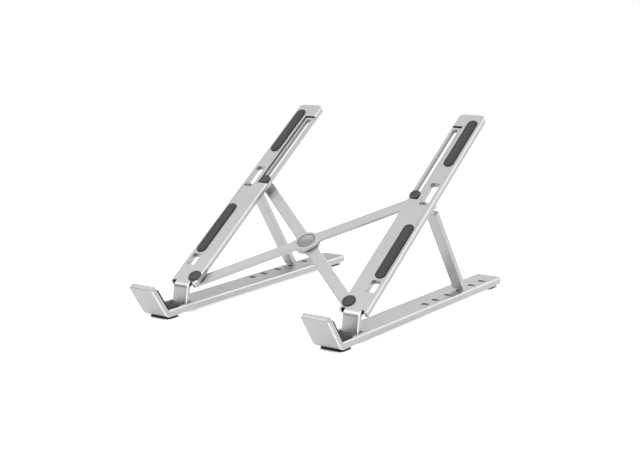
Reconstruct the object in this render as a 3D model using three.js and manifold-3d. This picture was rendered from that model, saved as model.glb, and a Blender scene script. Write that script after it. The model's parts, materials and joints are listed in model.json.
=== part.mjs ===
// A folding laptop stand: two hooked base rails, two tilting upper rails, a two-bar scissor that
// sets them apart, and a leg under each upper rail that props it up from a row of slots.
// Millimetres. +X is the user's right, +Y runs to the back, +Z is up.
import * as THREE from "three";
import { mergeVertices } from "three/addons/utils/BufferGeometryUtils.js";
import Module from "manifold-3d";

const wasm = await Module();
wasm.setup();

// ---- Sizes ---------------------------------------------------------------------------------

// The whole stand
const RAIL_SPACING = 151; // between the middles of the two sides, opened out
const TILT = 35; // degrees from the base rail to the upper rail
const SEAT_GAP = 0.3; // between pieces that lie face to face
const PIN_GAP = 0.1; // all round a pin in its hole

// Base rail, in a frame whose origin lies under the inner corner of the hook
const BASE_WIDTH = 22.8;
const BASE_HEIGHT = 5.6;
const BASE_LENGTH = 234; // from the inner corner of the hook to the back end
const BASE_PLATE = 1.6; // top wall over the hollow underside
const BASE_WALL = 2;
const BASE_CORNER = 3; // corner radius at the back, seen from above
const BASE_SOLID_FRONT = 15.5; // length of the solid part behind the hook
const BASE_SOLID_BACK = 19;
const BASE_HOLLOW_CORNER = 1.5;
const EDGE_CHAMFER = 0.9; // along the sides of base and upper rails

// Hook at the front of the base rail
const HOOK_LENGTH = 25.4; // along its inner face
const HOOK_THICKNESS = 4.8;
const HOOK_RISE = 55; // degrees from level, leaning to the front
const HOOK_BEND = 8; // outer radius of its bend
const HOOK_CORNER = 2.5; // at the ends of the tip, seen from the front
const HOOK_TIP_ROUND = 1.2;
const HOOK_CREASE = 1.2; // inner radius of its bend

// Row of leg slots in the base rail
const FIRST_SLOT = 120.7; // from the inner corner of the hook
const SLOT_STEPS = [15.6, 19, 18.6, 20.1, 17.6];
const SLOT_SIDE_GAP = 0.4; // to each side of the leg's nose
const SLOT_LENGTH = 5;
const SLOT_CORNER = 0.6;
const SLOT_IN_USE = 3; // counted from 0 at the front

// Rubber feet and hook pad
const FOOT_HEIGHT = 2;
const FRONT_FOOT_WIDTH = 19;
const FRONT_FOOT = [1.6, 14]; // front and back edge
const REAR_FOOT_WIDTH = 16;
const REAR_FOOT_LENGTH = 11;
const REAR_FOOT_INSET = 5; // from the back end of the base rail
const FOOT_CORNER = 3;
const FOOT_CHAMFER = 0.4;
const HOOK_PAD_THICKNESS = 1.2;
const HOOK_PAD_INSET = 1; // from the sides of the rail
const HOOK_PAD_FLOOR = 13; // length along the base rail
const HOOK_PAD_RISE = 20; // length up the hook
const HOOK_PAD_ROUND = 0.4;
const HOOK_PAD_CHAMFER = 0.3;

// Hinge between base rail and upper rail
const HINGE_Y = 27.9; // behind the inner corner of the hook
const HINGE_Z = 3; // above the underside of the base rail
const HINGE_PIN_RADIUS = 1.5;
const HINGE_PIN_BITE = 0.8; // length of pin in each side wall of the base rail

// Upper rail, in a frame on the hinge axis: Y along the rail, Z square to its top face
const RAIL_WIDTH = 23.2;
const RAIL_TOP = 13.6; // hinge axis to top face
const RAIL_HEIGHT = 4.2;
const RAIL_START = 9.6; // tips of the two ears beside the neck
const RAIL_END = 218;
const RAIL_CORNER = 4.5; // at the top end, seen from above
const RAIL_TIP_CORNER = 0.8; // at the ears, seen from above
const NOTCH_END = 11.6; // of the notches between the neck and the ears
const NOTCH_WIDTH = 2.3;
const NOTCH_CORNER = 0.8;

// Neck that bends down from the front of the upper rail to the hinge
const NECK_WIDTH = 13.8;
const NECK_THICKNESS = 4;
const NECK_SLOPE = 46.5; // degrees from the top face of the rail
const NECK_FRONT = 3.9; // front face, in front of the hinge axis
const NECK_TAIL = 2.5; // length beyond the hinge axis
const NECK_TAIL_ROUND = 2.2;
const NECK_BEND = 6; // outer radius
const NECK_ROOT = 14; // where it runs out in the rail
const NECK_CHAMFER = 0.7;
const NECK_SIDE_GAP = 0.8; // to each side of the opening in the base rail
const OPENING_PAD_GAP = 1.2; // between the hook pad and the opening
const KNUCKLE_RADIUS = 2.9;
const KNUCKLE_GAP = 0.4;

// Windows and pads on the outer half of the upper rail
const WINDOW_WIDTH = 7;
const WINDOW_CORNER = 0.8;
const LOWER_WINDOW = [28, 39.5]; // start and end along the rail
const MIDDLE_WINDOW = [116.2, 139.5];
const PAD_CENTRE = 4.5; // outward from the middle of the rail
const PAD_WIDTH = 7.8;
const PAD_HEIGHT = 1.2;
const PAD_RECESS = 0.5; // depth of the pocket a pad sits in
const PAD_SIDE_GAP = 0.4;
const PAD_ROUND = 0.4;
const LOWER_PAD = [41.6, 95];
const UPPER_PAD = [158.6, 210.5];

// Pivots of the scissor, on the inner half of the upper rail
const PIVOT_INSET = 7; // inward from the middle of the rail
const FRONT_PIVOT = 17.5; // along the rail
const SLIDER = 125.8; // along the rail, opened out
const PIVOT_PIN_RADIUS = 1.7;
const PIVOT_TAIL_RADIUS = 3.1; // lower end of the pin, sunk into the link
const PIVOT_TAIL = 0.9;
const PIVOT_CAP_RADIUS = 4.9;
const PIVOT_CAP_HEIGHT = 1.5;
const PIVOT_CAP_GAP = 0.4; // to the side of its recess
const PIVOT_RECESS = 0.8;
const CAP_SOCKET = 0.7; // depth of the hole under a cap that takes the pin
const CAP_ROUND = 0.5;
const BUSH_WALL = 0.9;

// Sunken track that the slider runs in
const TRACK_DEPTH = 1;
const TRACK_START = 2.4; // inward from the middle of the rail
const TRACK_HEAD = 2.6; // floor in front of the slot
const TRACK_END = 203.7; // along the rail
const TRACK_GROOVE = [1, 1.2]; // width and depth of the groove at its end
const TRACK_GROOVE_RIM = 1.3; // to the inner side of the rail
const SLIDER_SLOT_END = 200.6; // along the rail
const SLIDER_SLOT_GAP = 0.3; // to each side of the pin
const SLIDER_CAP_RADIUS = 4.3;
const SLIDER_CAP_HEIGHT = 1.5;

// Scissor links
const LINK_WIDTH = 9.5;
const LINK_THICKNESS = 2.7;
const LINK_RAIL_GAP = 0.9; // between the upper link and the rails
const LINK_GAP = 0.2; // between the links
const LINK_CHAMFER = 0.5;
const BOSS_RADIUS = 9.5;
const BOSS_BLEND = 8; // radius between boss and bar
const RIVET_RADIUS = 2.4;
const RIVET_HEAD_RADIUS = 6.7;
const RIVET_HEAD = 1.1;
const RIVET_HEAD_GAP = 0.35; // to the side of its recess
const RIVET_DISH = 0.6; // depth of the cone in the rivet's head
const RIVET_RIM = 1.1;
const RIVET_TAIL_RADIUS = 3.8;
const RIVET_TAIL = 0.8;
const WASHER_RADIUS = 5;
const WASHER = 0.5;

// Leg, in a frame on its pivot axis: Y along the leg, Z towards the open side of its channel
const LEG_CENTRE = 4.5; // outward from the middle of the rail, as are the windows
const LEG_WIDTH = 9.2;
const LEG_HEIGHT = 4.6;
const LEG_WEB = 1.4;
const LEG_ROUND = 0.5; // along the edges of the web
const LEG_FLANGE = 1.2;
const LEG_RAIL_GAP = 0.2; // to the underside of the upper rail, folded
const LEG_PIVOT = 122.5; // along the rail
const LEG_PIN_RADIUS = 1.1;
const LEG_PIN_BITE = 0.9; // length of pin in each lug
const LEG_LUG = 1.5; // thickness of each of the two lugs under the rail
const LEG_LUG_RADIUS = 2.3;
const LEG_LUG_GAP = 0.3; // to each side of the leg's head
const LEG_HEAD_WIDTH = 6.6;
const LEG_HEAD_LENGTH = 7; // from the pivot to where the leg has its full width
const LEG_EYE_RADIUS = 2.1;
const LEG_TOE = 4; // solid part at the lower end of the channel
const NOSE_WIDTH = 4.8;
const NOSE_THICKNESS = 2.2;
const NOSE_LENGTH = 0.8; // before its half-round end
const NOSE_CLEARANCE = 1; // above the base rail

const CIRCLE = 28; // facets round a full circle
const SMALL_CIRCLE = 18;
const ARC = 2; // half the facets in a rounded corner
const LONG_ARC = 5; // half the facets in a bend or a round end
const OVERRUN = 1; // how far a cut runs past the face that it opens

// ---- Places worked out from the sizes --------------------------------------------------------

const tilt = THREE.MathUtils.degToRad(TILT);
const hookRise = THREE.MathUtils.degToRad(HOOK_RISE);
const neckSlope = THREE.MathUtils.degToRad(NECK_SLOPE);
const halfRail = RAIL_WIDTH / 2;
const halfBase = BASE_WIDTH / 2;
const railUnderside = RAIL_TOP - RAIL_HEIGHT;
const trackFloor = RAIL_TOP - TRACK_DEPTH;

// Tops of the two links, in the frame of the upper rail
const upperLink = railUnderside - LINK_RAIL_GAP;
const lowerLink = upperLink - LINK_THICKNESS - LINK_GAP;

const pivotSpan = RAIL_SPACING - 2 * PIVOT_INSET;
const linkLength = Math.hypot(pivotSpan, SLIDER - FRONT_PIVOT);
const linkAngle = Math.atan2(pivotSpan, SLIDER - FRONT_PIVOT);
const slotHalfWidth = PIVOT_PIN_RADIUS + SLIDER_SLOT_GAP;
const sliderSlot = [SLIDER - slotHalfWidth, SLIDER_SLOT_END];
const track = [sliderSlot[0] - TRACK_HEAD, TRACK_END];

const legSlots = SLOT_STEPS.reduce((places, step) => [...places, places.at(-1) + step], [FIRST_SLOT]);
const legPivotZ = railUnderside - LEG_RAIL_GAP - LEG_HEIGHT / 2;
const noseRadius = NOSE_THICKNESS / 2;
const legPivotAt = new THREE.Vector2(LEG_PIVOT, legPivotZ)
  .rotateAround(new THREE.Vector2(), tilt)
  .add(new THREE.Vector2(HINGE_Y, HINGE_Z));
const noseAt = new THREE.Vector2(legSlots[SLOT_IN_USE], BASE_HEIGHT + NOSE_CLEARANCE + noseRadius);
const pivotToNose = noseAt.clone().sub(legPivotAt);
const legReach = pivotToNose.length(); // to the middle of the nose
const legTurn = Math.atan2(pivotToNose.y, pivotToNose.x) - tilt;

// ---- Materials -------------------------------------------------------------------------------

const aluminium = new THREE.MeshStandardMaterial({ color: 0xc9cacc, roughness: 0.4, metalness: 0.9 });
const brightMetal = new THREE.MeshStandardMaterial({ color: 0xd8d9db, roughness: 0.25, metalness: 1 });
const steel = new THREE.MeshStandardMaterial({ color: 0xa9abae, roughness: 0.3, metalness: 1 });
const padRubber = new THREE.MeshStandardMaterial({ color: 0x525252, roughness: 0.8, metalness: 0 });
const footRubber = new THREE.MeshStandardMaterial({ color: 0x171717, roughness: 0.9, metalness: 0 });
const capPlastic = new THREE.MeshStandardMaterial({ color: 0x4a4a4b, roughness: 0.6, metalness: 0 });
const nylon = new THREE.MeshStandardMaterial({ color: 0xe6e4dc, roughness: 0.5, metalness: 0 });

// ---- Outlines and solids ---------------------------------------------------------------------

// A closed outline through corners [x, y, radius], each rounded by its own radius.
function outline(corners) {
  const shape = new THREE.Shape();
  corners.forEach(([x, y, radius = 0], i) => {
    const corner = new THREE.Vector2(x, y);
    const toBefore = new THREE.Vector2(...corners.at(i - 1)).sub(corner).normalize();
    const toAfter = new THREE.Vector2(...corners[(i + 1) % corners.length]).sub(corner).normalize();
    const halfAngle = Math.acos(toBefore.dot(toAfter)) / 2;
    const start = corner.clone().addScaledVector(toBefore, radius / Math.tan(halfAngle));
    if (i === 0) shape.moveTo(start.x, start.y);
    else shape.lineTo(start.x, start.y);
    if (radius === 0) return;
    const end = corner.clone().addScaledVector(toAfter, radius / Math.tan(halfAngle));
    const inward = toBefore.clone().add(toAfter).normalize();
    const centre = corner.clone().addScaledVector(inward, radius / Math.sin(halfAngle));
    const [from, to] = [start, end].map((point) => point.sub(centre).angle());
    shape.absarc(centre.x, centre.y, radius, from, to, toBefore.cross(toAfter) > 0);
  });
  shape.closePath();
  return shape;
}

// A rectangle with rounded corners.
function rectangle([x0, x1], [y0, y1], radius = 0) {
  return outline([[x0, y0, radius], [x1, y0, radius], [x1, y1, radius], [x0, y1, radius]]);
}

// A slot with round ends, lying along Y.
function obround(x, halfWidth, [y0, y1]) {
  const shape = new THREE.Shape();
  shape.absarc(x, y1 - halfWidth, halfWidth, 0, Math.PI);
  shape.absarc(x, y0 + halfWidth, halfWidth, Math.PI, 2 * Math.PI);
  shape.closePath();
  return shape;
}

// A three.js geometry as a solid that can be joined and cut.
function solid(geometry) {
  const loose = geometry.index ? geometry.toNonIndexed() : geometry;
  const bare = new THREE.BufferGeometry().setAttribute("position", loose.getAttribute("position"));
  const merged = mergeVertices(bare, 1e-4);
  const triangles = [];
  for (let i = 0; i < merged.index.count; i += 3) {
    const [a, b, c] = merged.index.array.slice(i, i + 3);
    if (a !== b && b !== c && c !== a) triangles.push(a, b, c);
  }
  return new wasm.Manifold(new wasm.Mesh({
    numProp: 3,
    vertProperties: merged.getAttribute("position").array,
    triVerts: new Uint32Array(triangles),
  }));
}

// An outline in X and Y, from one height to another, with chamfered rims where asked.
function upright(shape, [z0, z1], chamfer = 0, facets = ARC) {
  const geometry = new THREE.ExtrudeGeometry(shape, {
    depth: z1 - z0 - 2 * chamfer,
    curveSegments: facets,
    bevelEnabled: chamfer > 0,
    bevelSize: chamfer,
    bevelThickness: chamfer,
    bevelOffset: -chamfer,
    bevelSegments: 1,
  });
  return solid(geometry.translate(0, 0, z0 + chamfer));
}

// An outline in Y and Z, from one X to another.
function sideways(shape, range, chamfer = 0, facets = ARC) {
  return upright(shape, range, chamfer, facets).rotate([90, 0, 90]);
}

// A solid of revolution about Z through points [radius, z], listed upwards along its outside.
function turned(points, facets = CIRCLE) {
  const profile = points.map(([radius, z]) => new THREE.Vector2(radius, z));
  return solid(new THREE.LatheGeometry(profile, facets).rotateX(Math.PI / 2));
}

function disc(radius, [z0, z1], facets = CIRCLE) {
  return turned([[0, z0], [radius, z0], [radius, z1], [0, z1]], facets);
}

// A round bar along X.
function crossBar(radius, [x0, x1], facets = CIRCLE) {
  return disc(radius, [x0, x1], facets).rotate([0, 90, 0]);
}

function block([x0, x1], [y0, y1], range) {
  return upright(rectangle([x0, x1], [y0, y1]), range);
}

// What a round corner takes off a square one. The corner points along +X and +Y from the origin.
function cornerCut(radius, range) {
  const shape = new THREE.Shape();
  shape.moveTo(0, -radius);
  shape.absarc(-radius, -radius, radius, 0, Math.PI / 2);
  shape.lineTo(-radius, OVERRUN);
  shape.lineTo(OVERRUN, OVERRUN);
  shape.lineTo(OVERRUN, -radius);
  shape.closePath();
  return upright(shape, range);
}

function mesh(name, body, material) {
  const { vertProperties, triVerts } = body.getMesh();
  const geometry = new THREE.BufferGeometry()
    .setAttribute("position", new THREE.BufferAttribute(new Float32Array(vertProperties), 3))
    .setIndex(new THREE.BufferAttribute(new Uint32Array(triVerts), 1));
  geometry.computeVertexNormals();
  const made = new THREE.Mesh(geometry, material);
  made.name = name;
  return made;
}

// ---- Base rail and what is fixed to it -------------------------------------------------------

// Points of the hook in Y and Z, measured along its slope and square to it.
function onHook(along, outward) {
  return [
    -along * Math.cos(hookRise) - outward * Math.sin(hookRise),
    BASE_HEIGHT + along * Math.sin(hookRise) - outward * Math.cos(hookRise),
  ];
}

function baseSideOutline() {
  const [tipY, tipZ] = onHook(HOOK_LENGTH, HOOK_THICKNESS);
  const heelY = tipY + tipZ / Math.tan(hookRise);
  return outline([
    [heelY, 0, HOOK_BEND],
    [BASE_LENGTH, 0],
    [BASE_LENGTH, BASE_HEIGHT],
    [0, BASE_HEIGHT, HOOK_CREASE],
    [...onHook(HOOK_LENGTH, 0), HOOK_TIP_ROUND],
    [tipY, tipZ, HOOK_TIP_ROUND],
  ]);
}

function baseRail() {
  let rail = sideways(baseSideOutline(), [-halfBase, halfBase], EDGE_CHAMFER, LONG_ARC);
  const through = [-OVERRUN, BASE_HEIGHT + OVERRUN];
  const [tipY, tipZ] = onHook(HOOK_LENGTH, HOOK_THICKNESS);
  for (const turnOver of [0, 180]) {
    const backCorner = cornerCut(BASE_CORNER, [-BASE_HEIGHT - OVERRUN, BASE_HEIGHT + OVERRUN])
      .translate([halfBase, BASE_LENGTH, 0])
      .rotate([0, turnOver, 0]);
    const tipCorner = cornerCut(HOOK_CORNER, [-HOOK_LENGTH, HOOK_LENGTH])
      .translate([halfBase, 0, 0])
      .rotate([0, turnOver, 0])
      .rotate([180 - HOOK_RISE, 0, 0])
      .translate([0, tipY, tipZ]);
    rail = rail.subtract(backCorner).subtract(tipCorner);
  }
  const hollow = halfBase - BASE_WALL;
  rail = rail.subtract(upright(
    rectangle([-hollow, hollow], [BASE_SOLID_FRONT, BASE_LENGTH - BASE_SOLID_BACK], BASE_HOLLOW_CORNER),
    [-OVERRUN, BASE_HEIGHT - BASE_PLATE],
  ));
  const openingSide = NECK_WIDTH / 2 + NECK_SIDE_GAP;
  const opening = [HOOK_PAD_FLOOR + OPENING_PAD_GAP, HINGE_Y + KNUCKLE_RADIUS + KNUCKLE_GAP];
  rail = rail.subtract(upright(rectangle([-openingSide, openingSide], opening, SLOT_CORNER), through));
  const pinHole = hollow + HINGE_PIN_BITE + SEAT_GAP;
  rail = rail.subtract(crossBar(HINGE_PIN_RADIUS + PIN_GAP, [-pinHole, pinHole])
    .translate([0, HINGE_Y, HINGE_Z]));
  for (const place of legSlots) {
    const slotSide = NOSE_WIDTH / 2 + SLOT_SIDE_GAP;
    rail = rail.subtract(upright(
      rectangle([LEG_CENTRE - slotSide, LEG_CENTRE + slotSide],
        [place - SLOT_LENGTH / 2, place + SLOT_LENGTH / 2], SLOT_CORNER),
      through,
    ));
  }
  return rail;
}

function foot(width, along) {
  const shape = rectangle([-width / 2, width / 2], along, FOOT_CORNER);
  return upright(shape, [-FOOT_HEIGHT, 0], FOOT_CHAMFER);
}

function rearFoot() {
  const back = BASE_LENGTH - REAR_FOOT_INSET;
  return foot(REAR_FOOT_WIDTH, [back - REAR_FOOT_LENGTH, back]);
}

// An angle of rubber that lies along the base rail and up the inner face of the hook.
function hookPad() {
  const under = SEAT_GAP;
  const over = SEAT_GAP + HOOK_PAD_THICKNESS;
  const crease = (lift) => [lift * Math.tan(hookRise / 2), BASE_HEIGHT + lift];
  const shape = outline([
    [...crease(under), HOOK_CREASE],
    [HOOK_PAD_FLOOR, BASE_HEIGHT + under],
    [HOOK_PAD_FLOOR, BASE_HEIGHT + over, HOOK_PAD_ROUND],
    [...crease(over), HOOK_CREASE],
    [...onHook(HOOK_PAD_RISE, -over), HOOK_PAD_ROUND],
    onHook(HOOK_PAD_RISE, -under),
  ]);
  const side = halfBase - HOOK_PAD_INSET;
  return sideways(shape, [-side, side], HOOK_PAD_CHAMFER);
}

function hingePin() {
  const reach = halfBase - BASE_WALL + HINGE_PIN_BITE;
  return crossBar(HINGE_PIN_RADIUS, [-reach, reach]).translate([0, HINGE_Y, HINGE_Z]);
}

// ---- Upper rail and what is fixed to it. The inner side of the right rail is at -X. -----------

// An outline in X and Z, from one Y to another.
function lengthwise(shape, [y0, y1]) {
  return upright(shape, [-y1, -y0]).rotate([90, 0, 0]);
}

// Points of the neck in Y and Z, measured up its slope from the hinge axis and square to it.
function onNeck(along, outward) {
  return [
    along * Math.cos(neckSlope) - outward * Math.sin(neckSlope),
    along * Math.sin(neckSlope) + outward * Math.cos(neckSlope),
  ];
}

function neck() {
  const back = NECK_FRONT - NECK_THICKNESS;
  const height = (z, outward) => (z - outward * Math.cos(neckSlope)) / Math.sin(neckSlope);
  const shape = outline([
    [NECK_ROOT, RAIL_TOP],
    [...onNeck(height(RAIL_TOP, NECK_FRONT), NECK_FRONT), NECK_BEND],
    [...onNeck(-NECK_TAIL, NECK_FRONT), NECK_TAIL_ROUND],
    onNeck(-NECK_TAIL, back),
    [...onNeck(height(railUnderside, back), back), NECK_BEND - NECK_THICKNESS],
    [NECK_ROOT, railUnderside],
  ]);
  const side = NECK_WIDTH / 2;
  const pinHole = crossBar(HINGE_PIN_RADIUS + PIN_GAP, [-side - OVERRUN, side + OVERRUN]);
  return sideways(shape, [-side, side], NECK_CHAMFER, LONG_ARC)
    .add(crossBar(KNUCKLE_RADIUS, [NECK_CHAMFER - side, side - NECK_CHAMFER]))
    .subtract(pinHole);
}

// The flat bar that the upper rail is cut from, with chamfered upper edges.
function bar() {
  const rim = halfRail - EDGE_CHAMFER;
  const shape = outline([
    [-halfRail, railUnderside],
    [halfRail, railUnderside],
    [halfRail, RAIL_TOP - EDGE_CHAMFER],
    [rim, RAIL_TOP],
    [-rim, RAIL_TOP],
    [-halfRail, RAIL_TOP - EDGE_CHAMFER],
  ]);
  return lengthwise(shape, [RAIL_START, RAIL_END]);
}

function upperRail() {
  const through = [railUnderside - OVERRUN, RAIL_TOP + OVERRUN];
  const rounding = [-RAIL_TOP - OVERRUN, RAIL_TOP + OVERRUN];
  let rail = bar();
  for (const side of [1, -1]) {
    const turnOver = side === 1 ? 0 : 180;
    const topCorner = cornerCut(RAIL_CORNER, rounding)
      .translate([halfRail, RAIL_END, 0])
      .rotate([0, turnOver, 0]);
    const frontCorner = cornerCut(RAIL_TIP_CORNER, rounding)
      .translate([halfRail, -RAIL_START, 0])
      .rotate([180, turnOver, 0]);
    rail = rail.subtract(topCorner).subtract(frontCorner);
  }
  const notchSide = NECK_WIDTH / 2 + NOTCH_WIDTH;
  const notchStart = RAIL_START - NOTCH_CORNER - OVERRUN;
  rail = rail
    .subtract(upright(rectangle([-notchSide, notchSide], [notchStart, NOTCH_END], NOTCH_CORNER), through))
    .add(neck());

  const trackSide = [-halfRail - OVERRUN, -TRACK_START];
  const [grooveWidth, grooveDepth] = TRACK_GROOVE;
  const groove = [TRACK_END - grooveWidth, TRACK_END];
  const grooveSide = [TRACK_GROOVE_RIM - halfRail, -TRACK_START];
  rail = rail
    .subtract(block(trackSide, track, [trackFloor, RAIL_TOP + OVERRUN]))
    .subtract(block(grooveSide, groove, [trackFloor - grooveDepth, RAIL_TOP + OVERRUN]))
    .subtract(upright(obround(-PIVOT_INSET, slotHalfWidth, sliderSlot), through, 0, LONG_ARC))
    .subtract(disc(PIVOT_PIN_RADIUS + PIN_GAP, through).translate([-PIVOT_INSET, FRONT_PIVOT, 0]))
    .subtract(disc(PIVOT_CAP_RADIUS + PIVOT_CAP_GAP, [RAIL_TOP - PIVOT_RECESS, RAIL_TOP + OVERRUN])
      .translate([-PIVOT_INSET, FRONT_PIVOT, 0]));
  const windowSides = [LEG_CENTRE - WINDOW_WIDTH / 2, LEG_CENTRE + WINDOW_WIDTH / 2];
  for (const window of [LOWER_WINDOW, MIDDLE_WINDOW]) {
    rail = rail.subtract(upright(rectangle(windowSides, window, WINDOW_CORNER), through));
  }
  for (const [start, end] of [LOWER_PAD, UPPER_PAD]) {
    const along = [start - PAD_SIDE_GAP, end + PAD_SIDE_GAP];
    const pocket = obround(PAD_CENTRE, PAD_WIDTH / 2 + PAD_SIDE_GAP, along);
    rail = rail.subtract(upright(pocket, [RAIL_TOP - PAD_RECESS, RAIL_TOP + OVERRUN], 0, LONG_ARC));
  }
  const [pinStart, pinEnd] = legPinEnds();
  const pinHole = [pinStart - SEAT_GAP, pinEnd + SEAT_GAP];
  return rail.add(legLugs()).subtract(crossBar(LEG_PIN_RADIUS + PIN_GAP, pinHole, SMALL_CIRCLE)
    .translate([0, LEG_PIVOT, legPivotZ]));
}

function pad(along) {
  const bottom = RAIL_TOP - PAD_RECESS + SEAT_GAP;
  const shape = obround(PAD_CENTRE, PAD_WIDTH / 2, along);
  return upright(shape, [bottom, bottom + PAD_HEIGHT], PAD_ROUND, LONG_ARC);
}

// The two lugs under the rail that hold the leg's pin.
function legLugs() {
  const top = railUnderside + OVERRUN;
  const shape = new THREE.Shape();
  shape.absarc(LEG_PIVOT, legPivotZ, LEG_LUG_RADIUS, Math.PI, 2 * Math.PI);
  shape.lineTo(LEG_PIVOT + LEG_LUG_RADIUS, top);
  shape.lineTo(LEG_PIVOT - LEG_LUG_RADIUS, top);
  shape.closePath();
  const inner = LEG_HEAD_WIDTH / 2 + LEG_LUG_GAP;
  const outer = inner + LEG_LUG;
  return sideways(shape, [LEG_CENTRE + inner, LEG_CENTRE + outer], 0, LONG_ARC)
    .add(sideways(shape, [LEG_CENTRE - outer, LEG_CENTRE - inner], 0, LONG_ARC));
}

// The two ends of the leg's pin, one in each lug.
function legPinEnds() {
  const reach = LEG_HEAD_WIDTH / 2 + LEG_LUG_GAP + LEG_PIN_BITE;
  return [LEG_CENTRE - reach, LEG_CENTRE + reach];
}

function legPin() {
  return crossBar(LEG_PIN_RADIUS, legPinEnds(), SMALL_CIRCLE).translate([0, LEG_PIVOT, legPivotZ]);
}

// A round cap with a blind hole for the pin underneath.
function cap(radius, bottom, height) {
  const top = bottom + height;
  const hole = PIVOT_PIN_RADIUS + PIN_GAP;
  return turned([
    [0, bottom + CAP_SOCKET],
    [hole, bottom + CAP_SOCKET],
    [hole, bottom],
    [radius, bottom],
    [radius, top - CAP_ROUND],
    [radius - CAP_ROUND, top],
    [0, top],
  ]);
}

// A pin from inside its cap down to the underside of the link that it holds.
function pivotPin(capBottom, linkTop) {
  const bottom = linkTop - LINK_THICKNESS;
  const top = capBottom + CAP_SOCKET - PIN_GAP;
  return turned([
    [0, bottom],
    [PIVOT_TAIL_RADIUS, bottom],
    [PIVOT_TAIL_RADIUS, bottom + PIVOT_TAIL],
    [PIVOT_PIN_RADIUS, bottom + PIVOT_TAIL],
    [PIVOT_PIN_RADIUS, top],
    [0, top],
  ], SMALL_CIRCLE);
}

// A bush round the pin, between the rail above and the link below.
function bush(above, linkTop) {
  const inner = PIVOT_PIN_RADIUS + PIN_GAP;
  const outer = inner + BUSH_WALL;
  const [bottom, top] = [linkTop + PIN_GAP, above - PIN_GAP];
  const corners = [[inner, bottom], [outer, bottom], [outer, top], [inner, top]];
  return turned([...corners, corners[0]], SMALL_CIRCLE);
}

const pivotCapBottom = RAIL_TOP - PIVOT_RECESS + SEAT_GAP;
const sliderCapBottom = trackFloor + SEAT_GAP;

// ---- Leg -------------------------------------------------------------------------------------

// A bar with a groove along its open side, so that a web and two flanges are left.
function grooved(along, groove) {
  const half = LEG_WIDTH / 2;
  const edge = LEG_HEIGHT / 2;
  const bar = outline([
    [-half, -edge, LEG_ROUND],
    [half, -edge, LEG_ROUND],
    [half, edge],
    [-half, edge],
  ]);
  const inside = half - LEG_FLANGE;
  return lengthwise(bar, along)
    .subtract(block([-inside, inside], groove, [LEG_WEB - edge, edge + OVERRUN]));
}

function leg() {
  const headRoot = LEG_HEAD_LENGTH + LEG_FLANGE / 2;
  const noseRoot = legReach - NOSE_LENGTH;

  const head = new THREE.Shape();
  head.moveTo(headRoot, LEG_EYE_RADIUS);
  head.absarc(0, 0, LEG_EYE_RADIUS, Math.PI / 2, 1.5 * Math.PI);
  head.lineTo(headRoot, -LEG_EYE_RADIUS);
  head.closePath();

  const nose = new THREE.Shape();
  nose.moveTo(noseRoot - LEG_TOE / 2, -noseRadius);
  nose.absarc(legReach, 0, noseRadius, -Math.PI / 2, Math.PI / 2);
  nose.lineTo(noseRoot - LEG_TOE / 2, noseRadius);
  nose.closePath();

  return grooved([LEG_HEAD_LENGTH, noseRoot], [LEG_HEAD_LENGTH + LEG_FLANGE, noseRoot - LEG_TOE])
    .add(sideways(head, [-LEG_HEAD_WIDTH / 2, LEG_HEAD_WIDTH / 2], 0, LONG_ARC))
    .add(sideways(nose, [-NOSE_WIDTH / 2, NOSE_WIDTH / 2], 0, LONG_ARC))
    .subtract(crossBar(LEG_PIN_RADIUS + PIN_GAP, [-LEG_WIDTH, LEG_WIDTH], SMALL_CIRCLE));
}

// ---- Scissor links, each in a frame on its front pivot with Y towards its slider -------------

function linkOutline() {
  const half = LINK_WIDTH / 2;
  const middle = linkLength / 2;
  const across = half + BOSS_BLEND;
  const along = Math.sqrt((BOSS_RADIUS + BOSS_BLEND) ** 2 - across ** 2);
  const turn = Math.atan2(along, across);
  const shape = new THREE.Shape();
  shape.absarc(0, 0, half, Math.PI, 2 * Math.PI);
  shape.absarc(across, middle - along, BOSS_BLEND, Math.PI, Math.PI - turn, true);
  shape.absarc(0, middle, BOSS_RADIUS, -turn, turn);
  shape.absarc(across, middle + along, BOSS_BLEND, Math.PI + turn, Math.PI, true);
  shape.absarc(0, linkLength, half, 0, Math.PI);
  shape.absarc(-across, middle + along, BOSS_BLEND, 0, -turn, true);
  shape.absarc(0, middle, BOSS_RADIUS, Math.PI - turn, Math.PI + turn);
  shape.absarc(-across, middle - along, BOSS_BLEND, turn, 0, true);
  shape.closePath();
  return shape;
}

// A link with its top at the given height. The upper one has a recess for the rivet's head.
function link(top, hasRecess) {
  const bottom = top - LINK_THICKNESS;
  const through = [bottom - OVERRUN, top + OVERRUN];
  const tail = [bottom - OVERRUN, bottom + PIVOT_TAIL + PIN_GAP];
  const middle = [0, linkLength / 2, 0];
  let bar = upright(linkOutline(), [bottom, top], LINK_CHAMFER, LONG_ARC);
  for (const pivot of [0, linkLength]) {
    bar = bar
      .subtract(disc(PIVOT_PIN_RADIUS + PIN_GAP, through, SMALL_CIRCLE).translate([0, pivot, 0]))
      .subtract(disc(PIVOT_TAIL_RADIUS + PIN_GAP, tail, SMALL_CIRCLE).translate([0, pivot, 0]));
  }
  bar = bar.subtract(disc(RIVET_RADIUS + PIN_GAP, through, SMALL_CIRCLE).translate(middle));
  if (!hasRecess) return bar;
  const recess = disc(RIVET_HEAD_RADIUS + RIVET_HEAD_GAP, [top - RIVET_HEAD - SEAT_GAP, top + OVERRUN]);
  return bar.subtract(recess.translate(middle));
}

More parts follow.
